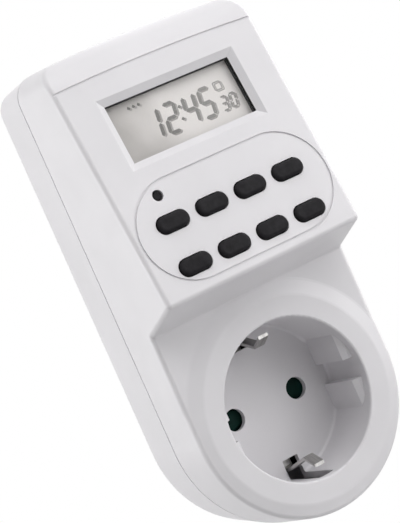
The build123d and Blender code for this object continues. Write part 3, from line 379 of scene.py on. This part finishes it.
# %% Circuit boards
green_board = new_finish("green_board", IOR=1.5)
tracks = node_of(green_board, "ShaderNodeTexBrick", offset=0.37)
tracks.inputs["Scale"].default_value = 210
tracks.inputs["Mortar Size"].default_value = 0.06
tracks.inputs["Brick Width"].default_value = 1.3
tracks.inputs["Row Height"].default_value = 0.42
tracks.inputs["Color1"].default_value = (0, 0, 0, 1)
tracks.inputs["Color2"].default_value = (0.15, 0.15, 0.15, 1)
tracks.inputs["Mortar"].default_value = (1, 1, 1, 1)
upright = place_of(green_board, turned=(radians(90), 0, 0))
green_board.node_tree.links.new(upright, tracks.inputs["Vector"])
colour_from(
    green_board, tracks.outputs["Color"], (0.012, 0.1, 0.035), (0.05, 0.2, 0.07), span=(0.1, 0.9)
)
roughness_from(green_board, noise_of(green_board, 300, 3), 0.3, 0.45)
bump_from(green_board, tracks.outputs["Color"], height=0.00003, strength=0.6)
dress(green_board, "logic_board", "power_board")

# %% [markdown]
# ## Winding, bands and ribs
# Some small parts have stripes: the coil's copper turns, the ribs of the flat cable, the rings
# of the resistors and diodes, and a capacitor's sleeve. Hundreds of modelled turns would be
# heavy for what is seen of them, so a Wave texture in bands along one axis does them all. At a
# scale of 1 its bands are 0.314159 metres apart, so the scale follows from how many bands there
# are in a metre.

# %% Winding, bands and ribs
wave_length = 0.314159
rough_spread = 0.08


def banded(name, low, high, bands_per_metre, axis, metallic=0.0, height=0.00002, rough=0.4):
    """A finish with even bands across one axis."""
    finish = new_finish(name, Metallic=metallic)
    wave = node_of(finish, "ShaderNodeTexWave", bands_direction=axis)
    wave.inputs["Scale"].default_value = bands_per_metre * wave_length
    wave.inputs["Distortion"].default_value = 0.4
    finish.node_tree.links.new(place_of(finish), wave.inputs["Vector"])
    colour_from(finish, wave.outputs["Fac"], low, high, span=(0.2, 0.8))
    patches = noise_of(finish, 500, 2)
    roughness_from(finish, patches, rough - rough_spread, rough + rough_spread)
    bump_from(finish, wave.outputs["Fac"], height, strength=0.8)
    return finish


coil_copper = banded(
    "coil_copper", (0.42, 0.13, 0.04), (0.78, 0.32, 0.14), 3000, "Z", metallic=1.0
)
dress(coil_copper, "relay_coil")
cable_grey = banded(
    "cable_grey", (0.36, 0.36, 0.38), (0.5, 0.5, 0.52), 400, "X", height=0.0001, rough=0.5
)
dress(cable_grey, "flat_cable")
resistor_tan = banded("resistor_tan", (0.25, 0.07, 0.03), (0.6, 0.45, 0.28), 210, "Z")
dress(resistor_tan, "resistors")
diode_black = banded("diode_black", (0.01, 0.01, 0.011), (0.35, 0.35, 0.36), 75, "Z")
dress(diode_black, "rectifier_diodes")
can_sleeve = banded("can_sleeve", (0.012, 0.016, 0.05), (0.03, 0.035, 0.08), 130, "X")
dress(can_sleeve, "smoothing_capacitor")

# %% [markdown]
# ## Places on the display
# The display leans back with the panel, by about ten degrees. Marks could be drawn there one by
# one, but they are easier to draw flat and then lay down together, so one matrix turns flat
# X and Y into across and up along the panel. It starts from a known point on the panel's face.

# %% Places on the display
face_tilt = radians(10.15)
face_y, face_z = -0.04035, 0.055
window_middle = 0.01978  # from that point up along the panel


def glass_matrix(across, along, under):
    """Frame that lies on the display: X across, Y up along the panel, Z out of it."""
    out = Vector((0, -cos(face_tilt), sin(face_tilt)))
    up = Vector((0, sin(face_tilt), cos(face_tilt)))
    origin = Vector((across, face_y, face_z)) + up * along - out * under
    return Matrix.Translation(origin) @ Matrix((Vector((1, 0, 0)), up, out)).transposed().to_4x4()


print("window's middle at", tuple(glass_matrix(0, window_middle, 0).translation))

# %% [markdown]
# ## Segments and digits
# The display shows a time in seven-segment digits. Each segment is a flat bar with pointed ends.
# It starts as a one-face grid, is stretched to a bar, gets its corners cut by a vertex bevel, and
# leans to the right as on the real display. A text object would be quicker, but a font has no
# true segments.

# %% Segments and digits
bar = 0.00092  # a large segment's width
lean = 0.19
corner_share, gap_share = 0.45, 0.25  # of a segment's width
segment_places = {
    "a": (0.5, 1.0, False), "b": (1.0, 0.75, True), "c": (1.0, 0.25, True), "d": (0.5, 0.0, False),
    "e": (0.0, 0.25, True), "f": (0.0, 0.75, True), "g": (0.5, 0.5, False),
}
segments_of = {"1": "bc", "2": "abged", "3": "abgcd", "4": "fgbc", "5": "afgcd", "0": "abcdef"}


def add_bar(mesh, across, along, length, width, upright, slant):
    """One segment: a stretched one-face grid with its corners cut off."""
    grid = bmesh.ops.create_grid(mesh, x_segments=1, y_segments=1, size=0.5)
    corners = grid["verts"]
    bmesh.ops.scale(mesh, vec=(length, width, 1), verts=corners)
    cut = bmesh.ops.bevel(
        mesh, geom=corners, affect="VERTICES", offset=width * corner_share, segments=1,
        profile=0.5, material=-1,
    )
    points = cut["verts"]
    turned = Matrix.Rotation(radians(90) if upright else 0.0, 4, "Z")
    bmesh.ops.transform(mesh, matrix=turned, verts=points)
    bmesh.ops.translate(mesh, vec=(across, along, 0), verts=points)
    leaning = Matrix(((1, slant, 0, 0), (0, 1, 0, 0), (0, 0, 1, 0), (0, 0, 0, 1)))
    bmesh.ops.transform(mesh, matrix=leaning, verts=points)


def add_digit(mesh, digit, left, foot, width, height, thick):
    """One digit from its lit segments, each a little shorter than its place."""
    for name in segments_of[digit]:
        across, along, upright = segment_places[name]
        length = (height / 2 if upright else width) - thick * gap_share
        add_bar(mesh, left + across * width, foot + along * height, length, thick, upright, lean)


print("segments", bar, "m wide, leaning by", lean)

# %% [markdown]
# ## Marks on the display
# Besides four large and two small digits there are a colon, three dots and a small square. All
# are drawn flat round the window's middle and raised by a hair, so that the piece is closed. The
# dark marks float in the glass a little above the reflector, so each one throws a soft grey
# shadow beside itself. The lamps can't draw it, because the glass is modelled as one plate, so
# the same marks are made a second time, deeper and moved to the lower right.

# %% Marks on the display
digit_foot = -0.004
large_width, large_height, large_places = 0.0029, 0.007, (-0.0085, -0.0037, 0.0019, 0.0065)
small_width, small_height, small_places = 0.0015, 0.0034, (0.0118, 0.0143)
colon_across, colon_places = 0.0006, (-0.0018, 0.0012)
dot_size, dot_along, dot_places = 0.0009, 0.0055, (-0.0112, -0.0098, -0.0084)
square_across, square_along, square_size, square_line = 0.0126, 0.0023, 0.002, 0.00028
mark_thickness = 0.000006
digit_depth, shadow_depth, shadow_shift = 0.00304, 0.003048, 0.0004


def display_marks(name, shift, under):
    """All marks of the display as one thin mesh, which can be moved a little."""
    marks = bmesh.new()
    for digit, left in zip("1245", large_places):
        add_digit(marks, digit, left, digit_foot, large_width, large_height, bar)
    for digit, left in zip("30", small_places):
        add_digit(marks, digit, left, digit_foot, small_width, small_height, bar / 2)
    for along in colon_places:
        add_bar(marks, colon_across, along, bar, bar, False, lean)
    for across in dot_places:
        add_bar(marks, across, dot_along, dot_size, dot_size, False, 0.0)
    for side in (-square_size / 2, square_size / 2):
        add_bar(marks, square_across, square_along + side, square_size, square_line, False, 0.0)
        add_bar(marks, square_across + side, square_along, square_size, square_line, True, 0.0)
    raised = bmesh.ops.extrude_face_region(marks, geom=list(marks.faces))
    lifted = [item for item in raised["geom"] if isinstance(item, bmesh.types.BMVert)]
    bmesh.ops.translate(marks, vec=(0, 0, mark_thickness), verts=lifted)
    bmesh.ops.recalc_face_normals(marks, faces=list(marks.faces))
    laid = glass_matrix(shift[0], window_middle + shift[1], under)
    bmesh.ops.transform(marks, matrix=laid, verts=list(marks.verts))
    mesh = bpy.data.meshes.new(name)
    marks.to_mesh(mesh)
    marks.free()
    piece = bpy.data.objects.new(name, mesh)
    scene.collection.objects.link(piece)
    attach(piece, "case")
    print(name, len(mesh.polygons), "faces")
    return piece


digits = display_marks("display_digits", (0, 0), digit_depth)
shadows = display_marks("display_shadows", (shadow_shift, -shadow_shift), shadow_depth)

# %% [markdown]
# ## Finishes of the marks
# The digits fade from dark grey on the left to a middle grey on the right. Each digit could have
# its own grey, but the X coordinate and one colour ramp fade them without steps. Their shadows are
# only a little darker than the reflector and have no gradient, just a cloudy noise.

# %% Finishes of the marks
digit_grey = new_finish("digit_grey", IOR=1.5)
across_digits = place_of(digit_grey, stretch=(28, 1, 1), start=(0.5, 0, 0))
fade = node_of(digit_grey, "ShaderNodeSeparateXYZ")
digit_grey.node_tree.links.new(across_digits, fade.inputs["Vector"])
colour_from(
    digit_grey, fade.outputs["X"], (0.13, 0.125, 0.12), (0.35, 0.337, 0.325), span=(0.1, 0.95)
)
shadow_grey = new_finish("shadow_grey", IOR=1.45)
shadow_drift = noise_of(shadow_grey, 300, 3)
colour_from(shadow_grey, shadow_drift, (0.36, 0.342, 0.33), (0.46, 0.44, 0.423))
for piece, finish in ((digits, digit_grey), (shadows, shadow_grey)):
    roughness_from(finish, noise_of(finish, 900, 2), 0.4, 0.5)
    bump_from(finish, noise_of(finish, 5200, 2), height=0.000004, strength=0.4)
    piece.data.materials.append(finish)
    print(finish.name, "on", piece.name)

# %% [markdown]
# ## Coil of wire
# A small coil spring behind the recess pushes the shutter back over the holes. A curve with a
# bevel could make a coil, but one spin that also moves along its axis gives a clean mesh: a
# small circle, the wire's section, goes round and along at once. Its sizes come from the rigid
# spring of the frame, whose box it fills.

# %% Coil of wire
spring_low, spring_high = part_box("shutter_spring")
wire_radius, wire_sides = 0.00017, 10
coil_turns = 6
steps_per_turn = 24
coil_steps = coil_turns * steps_per_turn
coil_radius = (spring_high.z - spring_low.z) / 2 - wire_radius
coil_start = spring_low.x + wire_radius
coil_pitch = (spring_high.x - wire_radius - coil_start) / coil_steps
spring_middle = (spring_low + spring_high) / 2
coil_middle = (coil_start, spring_middle.y, spring_middle.z)
wire_middle = (coil_start, spring_middle.y, spring_middle.z + coil_radius)
upright_section = Matrix.Rotation(radians(90), 3, "X")
coil = bmesh.new()
circle = bmesh.ops.create_circle(coil, cap_ends=False, segments=wire_sides, radius=wire_radius)
section = circle["verts"]
bmesh.ops.translate(coil, vec=wire_middle, verts=section)
bmesh.ops.rotate(coil, cent=wire_middle, matrix=upright_section, verts=section)
bmesh.ops.spin(
    coil, geom=section + list(coil.edges), cent=coil_middle, axis=(1, 0, 0),
    dvec=(coil_pitch, 0, 0), angle=radians(360 * coil_turns), steps=coil_steps,
)
bmesh.ops.holes_fill(coil, edges=[edge for edge in coil.edges if edge.is_boundary], sides=0)
bmesh.ops.recalc_face_normals(coil, faces=list(coil.faces))
print(coil_turns, "turns,", round(coil_pitch * steps_per_turn, 5), "m apart")

# %% [markdown]
# ## Return spring
# When a plug's pins turn the shutter, the spring is pressed together. Here the coil takes the
# rigid part's place and stays in the case, at rest.

# %% Return spring
coil_data = bpy.data.meshes.new("return_spring")
coil.to_mesh(coil_data)
coil.free()
return_spring = bpy.data.objects.new("return_spring", coil_data)
scene.collection.objects.link(return_spring)
return_spring.data.materials.append(spring_steel)
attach(return_spring, "case")
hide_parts("shutter_spring")
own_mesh(return_spring)
print("return_spring", len(return_spring.data.polygons), "faces")

# %% [markdown]
# ## Light
# Six large square lamps stand a metre from the timer, as in a small product studio. One sun
# would be simpler, but its shadows would be hard and one side black. Two high lamps light the
# head, two from the right light the panel, one far round on the left keeps that side as bright
# as the front, and one behind on the right gives the head its bright rim. None stands below, so
# the slope under the panel and the upper part of the recess get only what the pale floor throws
# back.

# %% Light
lit_middle = Vector((0, -0.01, 0.035))


def add_lamp(name, azimuth, rise, power):
    """A square lamp one metre away, azimuth degrees right of the front and rise degrees up."""
    data = bpy.data.lights.new(name, "AREA")
    data.energy = power
    data.size = 1.0
    lamp = bpy.data.objects.new(name, data)
    scene.collection.objects.link(lamp)
    across, up = radians(azimuth), radians(rise)
    outward = Vector((sin(across) * cos(up), -cos(across) * cos(up), sin(up)))
    aimed = (-outward).to_track_quat("-Z", "Y").to_matrix().to_4x4()
    lamp.matrix_world = Matrix.Translation(lit_middle + outward) @ aimed
    print(name, power, "W")


add_lamp("lamp_head", -60, 60, 3.1)
add_lamp("lamp_top", 0, 60, 4.1)
add_lamp("lamp_panel", 30, 30, 4.5)
add_lamp("lamp_right", 60, 0, 5.7)
add_lamp("lamp_left", -120, 0, 10.9)
add_lamp("lamp_rim", 120, 30, 6.0)

# %% [markdown]
# ## White surroundings
# The picture's background is pure white, but a world that bright would wash out all shadows. So
# the world has two backgrounds: a white one for rays that are seen directly, mirrored or passed
# through, and a nearly dark one for the light that falls on matt surfaces. The Light Path node
# tells which ray is asking.

# %% White surroundings


def shown_rays(tree):
    """A socket that is 1 for camera, mirrored and transmitted rays and 0 for all others."""
    path = tree.nodes.new("ShaderNodeLightPath")
    either = path.outputs["Is Camera Ray"]
    for kind in ("Is Glossy Ray", "Is Transmission Ray"):
        larger = tree.nodes.new("ShaderNodeMath")
        larger.operation = "MAXIMUM"
        tree.links.new(either, larger.inputs[0])
        tree.links.new(path.outputs[kind], larger.inputs[1])
        either = larger.outputs["Value"]
    return either


studio = bpy.data.worlds.new("studio")
studio.use_nodes = True
scene.world = studio
world_tree = studio.node_tree
dim_world = world_tree.nodes["Background"]
dim_world.inputs["Color"].default_value = (1, 1, 1, 1)
dim_world.inputs["Strength"].default_value = 0.02
white_world = world_tree.nodes.new("ShaderNodeBackground")
white_world.inputs["Color"].default_value = (1, 1, 1, 1)
both_worlds = world_tree.nodes.new("ShaderNodeMixShader")
world_tree.links.new(shown_rays(world_tree), both_worlds.inputs["Fac"])
world_tree.links.new(dim_world.outputs["Background"], both_worlds.inputs[1])
world_tree.links.new(white_world.outputs["Background"], both_worlds.inputs[2])
world_end = world_tree.nodes["World Output"]
world_tree.links.new(both_worlds.outputs["Shader"], world_end.inputs["Surface"])
scene.view_settings.view_transform = "Standard"
print("world strength for matt surfaces", round(dim_world.inputs["Strength"].default_value, 3))

# %% [markdown]
# ## Floor
# A wide pale floor lies below the timer and takes a little of its shadow. A curved backdrop
# could hide its far edge, but the timer is looked at from all sides, so the floor is one flat
# grid.

# %% Floor
floor_reach = 6.0
floor_level = -0.15
floor_mesh = bmesh.new()
bmesh.ops.create_grid(floor_mesh, x_segments=1, y_segments=1, size=floor_reach)
bmesh.ops.translate(floor_mesh, vec=(0, 0, floor_level), verts=list(floor_mesh.verts))
floor_data = bpy.data.meshes.new("floor")
floor_mesh.to_mesh(floor_data)
floor_mesh.free()
floor = bpy.data.objects.new("floor", floor_data)
scene.collection.objects.link(floor)
print("floor at", round(floor_data.vertices[0].co.z, 3), "m")

# %% [markdown]
# ## Fade of the floor
# Near the timer the floor shows some of the shadow, and further out it fades to the same white
# as the world, so that no horizon shows. A plain white floor would either be too dim or light
# the timer from below, so a white glow is mixed in for the rays that are seen alone: a Map Range
# of the distance from the middle raises its share from near_glow to all of it.

# %% Fade of the floor
fade_start, fade_end, near_glow = 0.12, 0.5, 0.7
pale_floor = new_finish("pale_floor", Roughness=0.9)
colour_from(pale_floor, noise_of(pale_floor, 6, 2), (0.53, 0.53, 0.53), (0.57, 0.57, 0.57))
floor_tree = pale_floor.node_tree
glow = node_of(pale_floor, "ShaderNodeEmission")
distance = node_of(pale_floor, "ShaderNodeVectorMath", operation="LENGTH")
floor_tree.links.new(place_of(pale_floor), distance.inputs[0])
far = node_of(pale_floor, "ShaderNodeMapRange")
far.inputs["From Min"].default_value = fade_start
far.inputs["From Max"].default_value = fade_end
far.inputs["To Min"].default_value = near_glow
floor_tree.links.new(distance.outputs["Value"], far.inputs["Value"])
glow_share = node_of(pale_floor, "ShaderNodeMath", operation="MULTIPLY")
floor_tree.links.new(far.outputs["Result"], glow_share.inputs[0])
floor_tree.links.new(shown_rays(floor_tree), glow_share.inputs[1])
floor_mix = node_of(pale_floor, "ShaderNodeMixShader")
floor_tree.links.new(glow_share.outputs["Value"], floor_mix.inputs["Fac"])
floor_tree.links.new(floor_tree.nodes["Principled BSDF"].outputs["BSDF"], floor_mix.inputs[1])
floor_tree.links.new(glow.outputs["Emission"], floor_mix.inputs[2])
floor_end = floor_tree.nodes["Material Output"]
floor_tree.links.new(floor_mix.outputs["Shader"], floor_end.inputs["Surface"])
floor.data.materials.append(pale_floor)
print("floor fades from", fade_start, "to", fade_end, "m")
